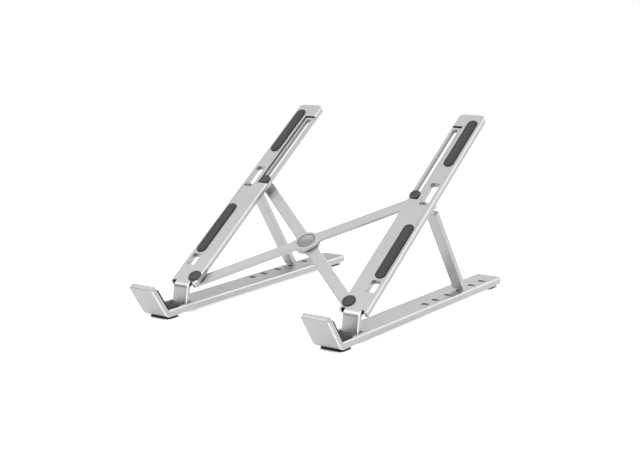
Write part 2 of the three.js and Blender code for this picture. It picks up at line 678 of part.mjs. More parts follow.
function rivet() {
  const top = upperLink;
  const washerBottom = lowerLink - LINK_THICKNESS - WASHER - 2 * PIN_GAP;
  const headBottom = top - RIVET_HEAD;
  const tailBottom = washerBottom - RIVET_TAIL;
  return turned([
    [0, tailBottom],
    [RIVET_TAIL_RADIUS - CAP_ROUND, tailBottom],
    [RIVET_TAIL_RADIUS, tailBottom + CAP_ROUND],
    [RIVET_TAIL_RADIUS, washerBottom],
    [RIVET_RADIUS, washerBottom],
    [RIVET_RADIUS, headBottom],
    [RIVET_HEAD_RADIUS, headBottom],
    [RIVET_HEAD_RADIUS, top],
    [RIVET_HEAD_RADIUS - RIVET_RIM, top],
    [0, top - RIVET_DISH],
  ]).translate([0, linkLength / 2, 0]);
}

function washer() {
  const top = lowerLink - LINK_THICKNESS - PIN_GAP;
  const inner = RIVET_RADIUS + PIN_GAP;
  const corners = [[inner, top - WASHER], [WASHER_RADIUS, top - WASHER], [WASHER_RADIUS, top], [inner, top]];
  return turned([...corners, corners[0]]).translate([0, linkLength / 2, 0]);
}

// ---- Assembly --------------------------------------------------------------------------------

// A group that stands on the hinge axis, tilted as the upper rails are.
function tilted() {
  const group = new THREE.Group();
  group.position.set(0, HINGE_Y, HINGE_Z);
  group.rotation.x = tilt;
  return group;
}

// One side of the stand. It is modelled as the right side, and the left one is its mirror image.
function side(name, mirror, linkTop) {
  const group = new THREE.Group();
  group.position.x = mirror * RAIL_SPACING / 2;
  group.scale.x = mirror;
  group.add(
    mesh(`${name}_base_rail`, baseRail(), aluminium),
    mesh(`${name}_front_foot`, foot(FRONT_FOOT_WIDTH, FRONT_FOOT), footRubber),
    mesh(`${name}_rear_foot`, rearFoot(), footRubber),
    mesh(`${name}_hook_pad`, hookPad(), padRubber),
    mesh(`${name}_hinge_pin`, hingePin(), steel),
  );

  const upper = tilted();
  upper.add(
    mesh(`${name}_upper_rail`, upperRail(), aluminium),
    mesh(`${name}_lower_pad`, pad(LOWER_PAD), padRubber),
    mesh(`${name}_upper_pad`, pad(UPPER_PAD), padRubber),
    mesh(`${name}_leg_pin`, legPin(), steel),
  );
  const pivot = new THREE.Group();
  pivot.position.set(-PIVOT_INSET, FRONT_PIVOT, 0);
  pivot.add(
    mesh(`${name}_pivot_cap`, cap(PIVOT_CAP_RADIUS, pivotCapBottom, PIVOT_CAP_HEIGHT), capPlastic),
    mesh(`${name}_pivot_pin`, pivotPin(pivotCapBottom, linkTop), steel),
    mesh(`${name}_pivot_bush`, bush(railUnderside, linkTop), nylon),
  );
  const legMesh = mesh(`${name}_leg`, leg(), aluminium);
  legMesh.position.set(LEG_CENTRE, LEG_PIVOT, legPivotZ);
  legMesh.rotation.x = legTurn;
  upper.add(pivot, legMesh);
  group.add(upper);
  return group;
}

// A link and the slider that it carries on the far side. The pivot it turns on is on the near side.
function linkGroup(nearSide, farName, linkTop) {
  const group = new THREE.Group();
  group.position.set(nearSide * pivotSpan / 2, FRONT_PIVOT, 0);
  group.rotation.z = nearSide * linkAngle;
  const slider = new THREE.Group();
  slider.position.y = linkLength;
  slider.add(
    mesh(`${farName}_slider_cap`, cap(SLIDER_CAP_RADIUS, sliderCapBottom, SLIDER_CAP_HEIGHT), capPlastic),
    mesh(`${farName}_slider_pin`, pivotPin(sliderCapBottom, linkTop), steel),
    mesh(`${farName}_slider_bush`, bush(railUnderside, linkTop), nylon),
  );
  group.add(slider);
  return group;
}

const upperLinkGroup = linkGroup(-1, "right", upperLink);
upperLinkGroup.add(
  mesh("upper_link", link(upperLink, true), aluminium),
  mesh("centre_rivet", rivet(), brightMetal),
  mesh("centre_washer", washer(), nylon),
);
const lowerLinkGroup = linkGroup(1, "left", lowerLink);
lowerLinkGroup.add(mesh("lower_link", link(lowerLink, false), aluminium));
const scissor = tilted();
scissor.add(upperLinkGroup, lowerLinkGroup);

// The finished stand, with its origin on the floor under the middle of its bounding box.
const stand = new THREE.Group();
stand.add(side("left", -1, upperLink), side("right", 1, lowerLink), scissor);
const size = new THREE.Box3().setFromObject(stand, true);
stand.position.set(0, -(size.min.y + size.max.y) / 2, -size.min.z);

export default stand;
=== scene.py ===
"""Finishes and stages a folding laptop stand: aluminium rails, links and legs, rubber pads and feet."""

import json
import math

import bpy
from mathutils import Matrix, Vector


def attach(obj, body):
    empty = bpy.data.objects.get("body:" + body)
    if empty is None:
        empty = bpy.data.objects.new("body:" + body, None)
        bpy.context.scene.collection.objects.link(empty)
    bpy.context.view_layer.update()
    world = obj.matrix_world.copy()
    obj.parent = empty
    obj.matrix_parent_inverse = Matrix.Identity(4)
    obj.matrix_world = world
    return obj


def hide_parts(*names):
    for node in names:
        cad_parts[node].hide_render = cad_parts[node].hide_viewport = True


bl_info = {
    "name": "Folding Laptop Stand",
    "version": (1, 0, 0),
    "blender": (4, 5, 0),
    "location": "3D View > Sidebar > Laptop Stand",
    "description": "Finishes for a folding aluminium laptop stand, and a studio to show it in",
    "category": "Object",
}

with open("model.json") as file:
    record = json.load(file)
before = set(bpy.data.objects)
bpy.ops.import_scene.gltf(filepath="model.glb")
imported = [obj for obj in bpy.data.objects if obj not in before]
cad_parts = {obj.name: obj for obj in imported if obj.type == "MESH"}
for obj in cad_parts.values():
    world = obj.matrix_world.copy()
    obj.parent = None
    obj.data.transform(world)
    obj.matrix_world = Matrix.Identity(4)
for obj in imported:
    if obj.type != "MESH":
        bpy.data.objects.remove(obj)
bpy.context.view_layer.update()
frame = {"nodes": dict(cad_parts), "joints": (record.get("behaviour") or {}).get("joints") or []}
NODES = frame["nodes"]
MM = 0.001
SIDES = ("left", "right")

# Edges of the CAD pieces: facets this flat are one face, and an edge this sharp gets a round.
SAME_PLANE = math.radians(0.5)
SHARP_EDGE = math.radians(32)

# A face cut at 45 degrees counts as a chamfer: full within the first slope error, none past the second.
CHAMFER_SLOPE = math.sqrt(0.5)
CHAMFER_WITHIN = (0.04, 0.10)

# How open to its surroundings a place is where the painted shade in hollows is full, and where it stops.
PAINTED_SHADE_OPENNESS = (0.45, 0.85)

# Length of one wave of a wave texture whose scale is 1.
WAVE_LENGTH = 0.314

# Caps: clearance round the pin, depth of the pin's hole, and the break of the lower edge.
CAP_PIN_GAP = 0.12 * MM
CAP_HOLE_DEPTH = 0.7 * MM
EDGE_BREAK = 0.1 * MM

# Centre rivet: its flat rim, its flat middle, and the bevel and crest of each turned ring.
RIVET_RIM = 1.1 * MM
RIVET_MIDDLE = 1.5 * MM
RING_BEVEL = 0.15 * MM
RING_CREST = 0.06 * MM

# Studio, in metres: where each lamp stands and how wide it is, and each black card's place and size.
KEY_LAMP = ((-0.7, -0.8, 1.3), 1.1)
FILL_LAMP = ((1.3, -0.5, 0.6), 0.9)
BACK_LAMP = ((-0.3, 1.3, 0.9), 0.9)
FRONT_CARD = ((-0.62, -0.78, 0.33), (1.0, 0.3))
BACK_CARD = ((-1.1, 1.62, 0.37), (2.2, 0.24))
FLOOR_WIDTH = 12.0
PAPER_WHITE = (0.9, 0.9, 0.9, 1)
CARD_BLACK = (0.02, 0.02, 0.02, 1)
WHITE_LIGHT = (1, 1, 1, 1)

# The floor under and beside a piece: how near counts, the openness from shadow to white, and the
# share of its white that reflections see.
CONTACT_REACH = 9 * MM
CONTACT_OPENNESS = (0.16, 0.34)
MIRRORED_FLOOR = 0.5

# Camera sensor, in millimetres.
SENSOR_WIDTH = 36


# ---- Settings --------------------------------------------------------------------------------


class StandFinish(bpy.types.PropertyGroup):
    """Colours and surface finishes of the stand."""

    aluminium: bpy.props.FloatVectorProperty(
        name="Aluminium",
        description="Colour of the anodised rails, links and legs",
        subtype="COLOR",
        default=(0.56, 0.56, 0.565),
    )
    aluminium_roughness: bpy.props.FloatProperty(
        name="Aluminium roughness",
        description="Roughness of the bead-blasted faces",
        subtype="FACTOR",
        min=0,
        max=1,
        default=0.32,
    )
    chamfer: bpy.props.FloatVectorProperty(
        name="Cut chamfer",
        description="Colour of the bright chamfers cut after anodising",
        subtype="COLOR",
        default=(0.86, 0.86, 0.87),
    )
    steel: bpy.props.FloatVectorProperty(
        name="Steel",
        description="Colour of the pins",
        subtype="COLOR",
        default=(0.52, 0.53, 0.54),
    )
    rivet: bpy.props.FloatVectorProperty(
        name="Rivet",
        description="Colour of the turned head in the middle of the scissor",
        subtype="COLOR",
        default=(0.34, 0.34, 0.345),
    )
    pad: bpy.props.FloatVectorProperty(
        name="Pad rubber",
        description="Colour of the long pads on the upper rails",
        subtype="COLOR",
        default=(0.075, 0.075, 0.076),
    )
    hook_pad: bpy.props.FloatVectorProperty(
        name="Hook pad rubber",
        description="Colour of the pads in the hooks",
        subtype="COLOR",
        default=(0.036, 0.036, 0.037),
    )
    cap: bpy.props.FloatVectorProperty(
        name="Cap plastic",
        description="Colour of the round caps over the pivots",
        subtype="COLOR",
        default=(0.055, 0.055, 0.057),
    )
    foot: bpy.props.FloatVectorProperty(
        name="Foot rubber",
        description="Colour of the feet",
        subtype="COLOR",
        default=(0.012, 0.012, 0.012),
    )
    nylon: bpy.props.FloatVectorProperty(
        name="Nylon",
        description="Colour of the bushes and the washer",
        subtype="COLOR",
        default=(0.74, 0.72, 0.67),
    )


class StandDetail(bpy.types.PropertyGroup):
    """Sizes of the fine detail on the stand."""

    edge_round: bpy.props.FloatProperty(
        name="Edge round",
        description="Width of the rounding along the edges of the aluminium parts",
        unit="LENGTH",
        default=0.22 * MM,
    )
    rubber_round: bpy.props.FloatProperty(
        name="Rubber edge round",
        description="Width of the rounding along the edges of the feet and the hook pads",
        unit="LENGTH",
        default=0.3 * MM,
    )
    pad_lip: bpy.props.FloatProperty(
        name="Pad lip",
        description="Width of the raised lip round each pad",
        unit="LENGTH",
        default=0.75 * MM,
    )
    pad_groove: bpy.props.FloatProperty(
        name="Pad groove",
        description="Depth of the groove inside the lip",
        unit="LENGTH",
        default=0.3 * MM,
    )
    cap_hollow: bpy.props.FloatProperty(
        name="Cap hollow",
        description="How far the top of a cap is hollowed below its rim",
        unit="LENGTH",
        default=0.25 * MM,
    )
    rivet_rings: bpy.props.IntProperty(
        name="Rivet rings",
        description="Turned rings in the dish of the centre rivet",
        min=0,
        default=4,
    )


class StandStage(bpy.types.PropertyGroup):
    """Camera, lamps and floor."""

    azimuth: bpy.props.FloatProperty(
        name="Azimuth",
        description="Turn of the camera round the stand, from straight in front",
        subtype="ANGLE",
        default=math.radians(34.23),
    )
    elevation: bpy.props.FloatProperty(
        name="Elevation",
        description="Height of the camera above the horizon",
        subtype="ANGLE",
        default=math.radians(10.66),
    )
    distance: bpy.props.FloatProperty(
        name="Distance",
        description="From the camera to the point it looks at",
        unit="LENGTH",
        default=959.2 * MM,
    )
    aim: bpy.props.FloatVectorProperty(
        name="Aim",
        description="The point the camera looks at",
        subtype="XYZ",
        unit="LENGTH",
        default=(0.65 * MM, -8.9 * MM, 60.96 * MM),
    )
    lens: bpy.props.FloatProperty(
        name="Lens",
        description="Focal length on a 36 mm wide sensor, in millimetres",
        default=71.72,
    )
    key: bpy.props.FloatProperty(
        name="Key lamp",
        description="Power of the large lamp above and to the left",
        unit="POWER",
        default=4.0,
    )
    fill: bpy.props.FloatProperty(
        name="Fill lamp",
        description="Power of the lamp to the right, and of the one behind",
        unit="POWER",
        default=1.6,
    )
    floor_lift: bpy.props.FloatProperty(
        name="Floor lift",
        description="White that the floor adds to its lit colour where it is seen",
        min=0,
        max=1,
        default=0.85,
    )
    ambient: bpy.props.FloatProperty(
        name="Ambient",
        description="Strength of the even light from all round",
        min=0,
        default=0.62,
    )


# ---- Materials -------------------------------------------------------------------------------


class NodeTree:
    """A node tree, with short ways to add the nodes that the finishes and the studio use."""

    def __init__(self, tree):
        self.tree = tree

    def add(self, kind, inputs=None, **settings):
        """A new node of this kind, with its inputs fed and its settings made."""
        made = self.tree.nodes.new(kind)
        for key, value in settings.items():
            setattr(made, key, value)
        for key, value in (inputs or {}).items():
            self.feed(made.inputs[key], value)
        return made

    def feed(self, socket, value):
        """Links the input to a socket, or sets it to a plain value."""
        if isinstance(value, bpy.types.NodeSocket):
            self.tree.links.new(value, socket)
        else:
            socket.default_value = value

    def between(self, value, low, high, to_low=0.0, to_high=1.0):
        """The value, stretched and clamped from one range to another."""
        inputs = {"Value": value, 1: low, 2: high, 3: to_low, 4: to_high}
        return self.add("ShaderNodeMapRange", inputs).outputs[0]

    def calculate(self, operation, first, second):
        """The result of one operation on two values."""
        return self.add("ShaderNodeMath", {0: first, 1: second}, operation=operation).outputs[0]

    def blend(self, factor, first, second):
        """A value between two values."""
        made = self.add("ShaderNodeMix", {"Factor": factor}, data_type="FLOAT")
        self.feed(made.inputs[2], first)
        self.feed(made.inputs[3], second)
        return made.outputs[0]


class Surface(NodeTree):
    """A material, with short ways to add the nodes that the finishes use."""

    def __init__(self, name):
        self.material = bpy.data.materials.new(name)
        self.material.use_nodes = True
        super().__init__(self.material.node_tree)
        self.shader = self.tree.nodes["Principled BSDF"]
        self.place = self.add("ShaderNodeTexCoord").outputs

    def noise(self, size, detail):
        """Noise with features of about this size in metres."""
        inputs = {"Scale": 1 / size, "Detail": detail, "Vector": self.place["Object"]}
        return self.add("ShaderNodeTexNoise", inputs).outputs["Fac"]

    def mix(self, factor, first, second):
        """A colour between two colours."""
        made = self.add("ShaderNodeMix", {"Factor": factor}, data_type="RGBA")
        self.feed(made.inputs["A"], colour(first))
        self.feed(made.inputs["B"], colour(second))
        return made.outputs["Result"]

    def paint_cavity_shade(self, tone, reach, darkest):
        """The tone with painted shade: darker where the piece's own faces within this reach close it in.
        """
        openness = self.add(
            "ShaderNodeAmbientOcclusion", {"Distance": reach}, samples=8, only_local=True
        ).outputs["AO"]
        level = self.between(openness, *PAINTED_SHADE_OPENNESS, to_low=darkest)
        shaded = self.add(
            "ShaderNodeMix", {"Factor": 1.0}, data_type="RGBA", blend_type="MULTIPLY"
        )
        self.feed(shaded.inputs["A"], colour(tone))
        self.feed(shaded.inputs["B"], level)
        return shaded.outputs["Result"]

    def bump(self, height, depth, strength, onto=None):
        """A bumped normal, laid over another one where it is given."""
        inputs = {"Height": height, "Distance": depth, "Strength": strength}
        if onto:
            inputs["Normal"] = onto
        return self.add("ShaderNodeBump", inputs).outputs[0]

    def set(self, **inputs):
        """Sets the shader's inputs by name, and gives the material."""
        for name, value in inputs.items():
            self.feed(self.shader.inputs[name.replace("_", " ")], value)
        return self.material


def colour(value):
    """A colour with alpha, or the socket that was given."""
    if isinstance(value, bpy.types.NodeSocket):
        return value
    return (*value[:3], 1.0)


def shade(value, factor):
    """A colour made lighter or darker."""
    return tuple(channel * factor for channel in value[:3])


def anodised_aluminium(name, finish, chamfered=False):
    """Bead-blasted and anodised aluminium, with bright chamfers cut along its length where asked, and
    painted shade in its hollows.
    """
    skin = Surface(name)
    clouds = skin.noise(size=14 * MM, detail=3)
    speckle = skin.noise(size=0.45 * MM, detail=2)
    handling = skin.noise(size=32 * MM, detail=4)
    cloudy = skin.between(clouds, low=0.35, high=0.65)
    tone = skin.mix(cloudy, shade(finish.aluminium, 0.965), finish.aluminium)
    speckled = skin.between(speckle, low=0.3, high=0.7, to_high=0.35)
    tone = skin.mix(speckled, tone, shade(finish.aluminium, 1.06))
    rough = finish.aluminium_roughness
    roughness = skin.between(speckle, low=0.25, high=0.75, to_low=rough - 0.05, to_high=rough + 0.05)
    handled = skin.between(handling, low=0.5, high=0.8, to_high=0.07)
    roughness = skin.calculate("ADD", roughness, handled)
    if chamfered:
        facing = skin.add("ShaderNodeSeparateXYZ", {0: skin.place["Normal"]}).outputs["X"]
        slope = skin.calculate("ABSOLUTE", facing, 0.0)
        off_slope = skin.calculate("SUBTRACT", slope, CHAMFER_SLOPE)
        off_slope = skin.calculate("ABSOLUTE", off_slope, 0.0)
        within, past = CHAMFER_WITHIN
        cut = skin.between(off_slope, low=past, high=within)
        tone = skin.mix(cut, tone, finish.chamfer)
        cut_roughness = 0.24
        roughness = skin.blend(cut, roughness, cut_roughness)
        # Painted shade: the tone goes nearly black deep in the rails' slots and corners.
        tone = skin.paint_cavity_shade(tone, reach=7 * MM, darkest=0.03)
    else:
        # Painted shade, lighter: the tone darkens in the tight corners of the legs and links.
        tone = skin.paint_cavity_shade(tone, reach=1.5 * MM, darkest=0.5)
    grain = skin.bump(speckle, depth=0.02 * MM, strength=0.6)
    fine = skin.noise(size=0.16 * MM, detail=1)
    pits = skin.bump(fine, depth=0.008 * MM, strength=0.5, onto=grain)
    return skin.set(Base_Color=tone, Metallic=0.9, Roughness=roughness, Normal=pits)


def bright_edge(name, finish):
    """The narrow rounded edge of an aluminium part, worn bright, with painted shade where it runs into
    hollows.
    """
    skin = Surface(name)
    wear = skin.noise(size=3 * MM, detail=4)
    worn = skin.between(wear, low=0.4, high=0.65)
    tone = skin.mix(worn, shade(finish.aluminium, 1.04), finish.chamfer)
    # Painted shade: the worn tone darkens where the part's own faces close the edge in.
    tone = skin.paint_cavity_shade(tone, reach=3 * MM, darkest=0.2)
    roughness = skin.between(wear, low=0.35, high=0.7, to_low=0.36, to_high=0.24)
    lines = skin.noise(size=0.3 * MM, detail=3)
    scratches = skin.bump(lines, depth=0.01 * MM, strength=0.5)
    return skin.set(Base_Color=tone, Metallic=0.85, Roughness=roughness, Normal=scratches)


def drawn_steel(name, finish):
    """Bright steel, cloudy in tone, with a fine grain from the drawing die."""
    skin = Surface(name)
    grain = skin.noise(size=0.25 * MM, detail=2)
    clouds = skin.noise(size=2 * MM, detail=3)
    tone = skin.mix(clouds, shade(finish.steel, 0.85), finish.steel)
    roughness = skin.between(grain, low=0.3, high=0.7, to_low=0.22, to_high=0.36)
    ground = skin.bump(grain, depth=0.01 * MM, strength=0.5)
    return skin.set(Base_Color=tone, Metallic=1.0, Roughness=roughness, Normal=ground)


def turned_metal(name, finish, ring_size):
    """Metal turned on a lathe: fine rings round the piece's own Z axis stretch its highlights."""
    skin = Surface(name)
    rings = skin.add(
        "ShaderNodeTexWave",
        {
            "Vector": skin.place["Object"],
            "Scale": WAVE_LENGTH / ring_size,
            "Distortion": 0.4,
            "Detail": 2.0,
        },
        wave_type="RINGS",
        rings_direction="Z",
        wave_profile="SIN",
    ).outputs["Fac"]
    tone = skin.mix(rings, shade(finish.rivet, 0.9), finish.rivet)
    roughness = skin.between(rings, low=0.0, high=1.0, to_low=0.28, to_high=0.36)
    round_axis = skin.add("ShaderNodeTangent", direction_type="RADIAL", axis="Z").outputs[0]
    return skin.set(
        Base_Color=tone,
        Metallic=1.0,
        Roughness=roughness,
        Anisotropic=0.92,
        Tangent=round_axis,
        Normal=skin.bump(rings, depth=0.01 * MM, strength=0.3),
    )


def rubber(name, tone, grain_size, roughness, dust=0.35):
    """Moulded rubber with a matt grain and a little dust in patches."""
    skin = Surface(name)
    grain = skin.noise(size=grain_size, detail=3)
    patches = skin.noise(size=9 * MM, detail=4)
    dusty = skin.between(patches, low=0.45, high=0.75, to_high=dust)
    grainy = skin.between(grain, low=0.3, high=0.7)
    body = skin.mix(grainy, shade(tone, 0.86), shade(tone, 1.1))
    body = skin.mix(dusty, body, shade(tone, 1.6))
    rough = skin.between(grain, low=0.3, high=0.7, to_low=roughness - 0.07, to_high=roughness + 0.07)
    coarse = skin.bump(patches, depth=0.05 * MM, strength=0.25)
    return skin.set(
        Base_Color=body,
        Roughness=rough,
        Specular_IOR_Level=0.4,
        Normal=skin.bump(grain, depth=0.05 * MM, strength=0.7, onto=coarse),
    )


def moulded_plastic(name, tone, roughness):
    """Injection-moulded plastic with a fine eroded texture."""
    skin = Surface(name)
    erosion = skin.noise(size=0.3 * MM, detail=3)
    flow = skin.noise(size=5 * MM, detail=2)
    flowed = skin.between(flow, low=0.35, high=0.65)
    body = skin.mix(flowed, shade(tone, 0.92), shade(tone, 1.12))
    rough = skin.between(erosion, low=0.3, high=0.7, to_low=roughness - 0.08, to_high=roughness + 0.06)
    texture = skin.bump(erosion, depth=0.03 * MM, strength=0.5)
    return skin.set(Base_Color=body, Roughness=rough, Normal=texture)


MATERIALS = {}


def material(name):
    """The material of that name, made from the settings when it is first wanted."""
    finish = bpy.context.scene.stand_finish
    recipes = {
        "blasted_aluminium": (anodised_aluminium, {"finish": finish}),
        "rail_aluminium": (anodised_aluminium, {"finish": finish, "chamfered": True}),
        "worn_edge": (bright_edge, {"finish": finish}),
        "drawn_steel": (drawn_steel, {"finish": finish}),
        "turned_rivet": (turned_metal, {"finish": finish, "ring_size": 0.35 * MM}),
        "pad_rubber": (rubber, {"tone": finish.pad, "grain_size": 0.5 * MM, "roughness": 0.68}),
        "hook_rubber": (rubber, {"tone": finish.hook_pad, "grain_size": 0.5 * MM, "roughness": 0.68}),
        "foot_rubber": (
            rubber,
            {"tone": finish.foot, "grain_size": 0.4 * MM, "roughness": 0.75, "dust": 0.2},
        ),
        "cap_plastic": (moulded_plastic, {"tone": finish.cap, "roughness": 0.36}),
        "nylon": (moulded_plastic, {"tone": finish.nylon, "roughness": 0.4}),
    }
    if name not in MATERIALS:
        maker, choices = recipes[name]
        MATERIALS[name] = maker(name, **choices)
    return MATERIALS[name]


# ---- Shapes ----------------------------------------------------------------------------------


def joint(name):
    """The frame's row for a joint."""
    found = [entry for entry in frame["joints"] if entry["name"] == name]
    if not found:
        raise RuntimeError(f"the frame has no joint named {name}")
    return found[0]


def rail_frame():
    """The frame of the upper rails: X across, Y up along the rail, Z square to its face."""
    hinge = joint("tilt")["pos_m"]
    up = Vector(joint("spread")["axis"]).normalized()
    across = Vector((1, 0, 0))
    along = up.cross(across)
    turn = Matrix((across, along, up)).transposed().to_4x4()
    return Matrix.Translation((0, hinge[1], hinge[2])) @ turn


def corners_of(node, matrix):
    """The points of a CAD node, in the frame that the matrix gives."""
    back = matrix.inverted()
    return [back @ vertex.co for vertex in NODES[node].data.vertices]


def extent(node, matrix):
    """Lowest and highest corner of a CAD node, in that frame."""
    points = corners_of(node, matrix)
    low = Vector(min(point[axis] for point in points) for axis in range(3))
    high = Vector(max(point[axis] for point in points) for axis in range(3))
    return low, high


def pin_radius(node, matrix):
    """Radius of the shank of a pin, at its upper end."""
    points = corners_of(node, matrix)
    low, high = extent(node, matrix)
    centre = (low.y + high.y) / 2
    end_band = 0.05 * MM
    return max(abs(point.y - centre) for point in points if point.z > high.z - end_band)


def rings_to_mesh(name, rings):
    """A closed skin over rings of points, capped at the first ring and at the last."""
    count = len(rings[0])
    points = [point for ring in rings for point in ring]
    faces = []
    for below in range(0, len(points) - count, count):
        above = below + count
        for column in range(count):
            following = (column + 1) % count
            faces.append((below + column, below + following, above + following, above + column))
    faces.append(tuple(reversed(range(count))))
    faces.append(tuple(range(len(points) - count, len(points))))
    data = bpy.data.meshes.new(name)
    data.from_pydata(points, [], faces)
    data.validate()
    return data


def obround(half_width, low_y, high_y, height, facets=20):
    """Points round a slot shape that lies along Y about X = 0."""
    points = []
    for end, start in ((high_y - half_width, 0.0), (low_y + half_width, math.pi)):
        for step in range(facets + 1):
            angle = start + math.pi * step / facets
            points.append((half_width * math.cos(angle), end + half_width * math.sin(angle), height))
    return points


def turned(name, profile, facets=56):
    """A solid turned about Z. The profile runs from axis to axis, in points of (radius, height)."""
    rings = []
    for radius, height in profile:
        ring = []
        for step in range(facets):
            angle = 2 * math.pi * step / facets
            ring.append((radius * math.cos(angle), radius * math.sin(angle), height))
        rings.append(ring)
    return rings_to_mesh(name, rings)


def put(name, data):
    """A new object in the scene, made from a mesh, a lamp or a camera."""
    made = bpy.data.objects.new(name, data)
    bpy.context.scene.collection.objects.link(made)
    return made


def rectangle(name, width, height, surface):
    """A flat rectangle in the scene, round the origin and facing up."""
    corners = [(x * width / 2, y * height / 2, 0) for x, y in ((-1, -1), (1, -1), (1, 1), (-1, 1))]
    data = bpy.data.meshes.new(name)
    data.from_pydata(corners, [], [(0, 1, 2, 3)])
    data.materials.append(surface)
    return put(name, data)


def place(name, data, matrix, surface, body, replaced):
    """Puts a mesh in the scene for the CAD node that it stands for."""
    piece = put(name, data)
    piece.matrix_world = matrix
    data.materials.append(surface)
    data.shade_smooth()
    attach(piece, body)
    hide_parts(replaced)
    weigh_normals(piece)
    return piece


def weigh_normals(piece):
    """Shades the large flat faces of a piece flat, and its rounds smooth."""
    weighted = piece.modifiers.new("flat faces stay flat", "WEIGHTED_NORMAL")
    weighted.keep_sharp = True


def soften(node, surface, edge, width):
    """Gives a CAD node its material and a narrow round along every sharp edge."""
    piece = NODES[node]
    piece.data.materials.clear()
    piece.data.materials.append(surface)
    piece.data.materials.append(edge)
    piece.data.shade_smooth()
    merge = piece.modifiers.new("flat faces in one", "DECIMATE")
    merge.decimate_type = "DISSOLVE"
    merge.angle_limit = SAME_PLANE
    rounding = piece.modifiers.new("edge round", "BEVEL")
    rounding.width = width
    rounding.segments = 2
    rounding.limit_method = "ANGLE"
    rounding.angle_limit = SHARP_EDGE
    rounding.material = 1
    rounding.harden_normals = True
    weigh_normals(piece)


# ---- Operators -------------------------------------------------------------------------------


class STAND_OT_rails(bpy.types.Operator):
    """Finish the base rails and the upper rails"""

    bl_idname = "laptop_stand.rails"
    bl_label = "Rails"

    def execute(self, context):
        width = context.scene.stand_detail.edge_round
        for side in SIDES:
            for part in ("base_rail", "upper_rail"):
                soften(f"{side}_{part}", material("rail_aluminium"), material("worn_edge"), width)
        return {"FINISHED"}


class STAND_OT_scissor(bpy.types.Operator):
    """Finish the two crossed links and the legs"""

    bl_idname = "laptop_stand.scissor"
    bl_label = "Links and legs"

    def execute(self, context):
        width = context.scene.stand_detail.edge_round
        for node in ("upper_link", "lower_link", "left_leg", "right_leg"):
            soften(node, material("blasted_aluminium"), material("worn_edge"), width)
        return {"FINISHED"}


class STAND_OT_pins(bpy.types.Operator):
    """Finish the pins, the bushes and the washer"""

    bl_idname = "laptop_stand.pins"
    bl_label = "Pins and bushes"

    def execute(self, context):
        width = context.scene.stand_detail.edge_round
        for side in SIDES:
            for part in ("hinge_pin", "leg_pin", "pivot_pin", "slider_pin"):
                soften(f"{side}_{part}", material("drawn_steel"), material("drawn_steel"), width)
            for part in ("pivot_bush", "slider_bush"):
                soften(f"{side}_{part}", material("nylon"), material("nylon"), width / 2)
        soften("centre_washer", material("nylon"), material("nylon"), width / 2)
        return {"FINISHED"}


class STAND_OT_pads(bpy.types.Operator):
    """Make the long rubber pads with their raised lips"""

    bl_idname = "laptop_stand.pads"
    bl_label = "Long pads"

    def execute(self, context):
        detail = context.scene.stand_detail
        for side in SIDES:
            for part in ("lower_pad", "upper_pad"):
                self.make(f"{side}_{part}", f"{side}_rail", detail)
        return {"FINISHED"}

    def make(self, node, body, detail):
        """A pad: a rounded lip, a groove inside it, and a face that swells back to the lip's height."""
        matrix = rail_frame()
        low, high = extent(node, matrix)
        half = (high.x - low.x) / 2
        depth = detail.pad_groove
        lip = detail.pad_lip
        top = high.z
        outer_edge = [(0.0, 0.42 * MM), (0.06 * MM, 0.2 * MM), (0.2 * MM, 0.05 * MM), (0.4 * MM, 0.0)]
        groove = [(0.0, 0.0), (0.12 * MM, 0.05 * MM), (0.22 * MM, depth), (0.5 * MM, depth)]
        swell = [(0.66 * MM, 0.1 * MM), (0.95 * MM, 0.03 * MM), (1.6 * MM, 0.0)]
        steps = [(0.0, low.z)]
        steps += [(inset, top - drop) for inset, drop in outer_edge]
        steps += [(lip + inset, top - drop) for inset, drop in groove + swell]
        rings = [obround(half - inset, low.y + inset, high.y - inset, z) for inset, z in steps]
        data = rings_to_mesh(f"{node}_rubber", rings)
        middle = matrix @ Matrix.Translation(((low.x + high.x) / 2, 0, 0))
        piece = place(f"{node}_rubber", data, middle, material("pad_rubber"), body, node)


class STAND_OT_caps(bpy.types.Operator):
    """Make the round caps over the pivots and the sliders"""

    bl_idname = "laptop_stand.caps"
    bl_label = "Pivot caps"

    def execute(self, context):
        hollow = context.scene.stand_detail.cap_hollow
        sliding_links = {"left": "link_below", "right": "link_above"}
        for side in SIDES:
            self.make(f"{side}_pivot_cap", f"{side}_rail", hollow)
            self.make(f"{side}_slider_cap", sliding_links[side], hollow)
        return {"FINISHED"}

    def make(self, node, body, hollow):
        """A cap: a blind hole for its pin underneath, and a round rim about a hollowed top."""
        matrix = rail_frame()
        low, high = extent(node, matrix)
        radius = (high.y - low.y) / 2
        hole = pin_radius(node.replace("cap", "pin"), matrix) + CAP_PIN_GAP
        hole_end = low.z + CAP_HOLE_DEPTH
        top = high.z
        outer_edge = [(0.0, 0.5 * MM), (0.1 * MM, 0.24 * MM), (0.3 * MM, 0.05 * MM), (0.55 * MM, 0.0)]
        inner_edge = [(0.95 * MM, 0.0), (1.15 * MM, 0.1 * MM), (1.35 * MM, hollow)]
        profile = [(0.0, hole_end), (hole, hole_end), (hole, low.z)]
        profile += [(radius - EDGE_BREAK, low.z), (radius, low.z + EDGE_BREAK)]
        profile += [(radius - inset, top - drop) for inset, drop in outer_edge + inner_edge]
        profile += [(radius * 0.4, top - hollow * 0.8), (0.0, top - hollow * 0.7)]
        data = turned(f"{node}_moulded", profile)
        centre = Matrix.Translation(((low.x + high.x) / 2, (low.y + high.y) / 2, 0))
        surface = material("cap_plastic")
        place(f"{node}_moulded", data, matrix @ centre, surface, body, node)


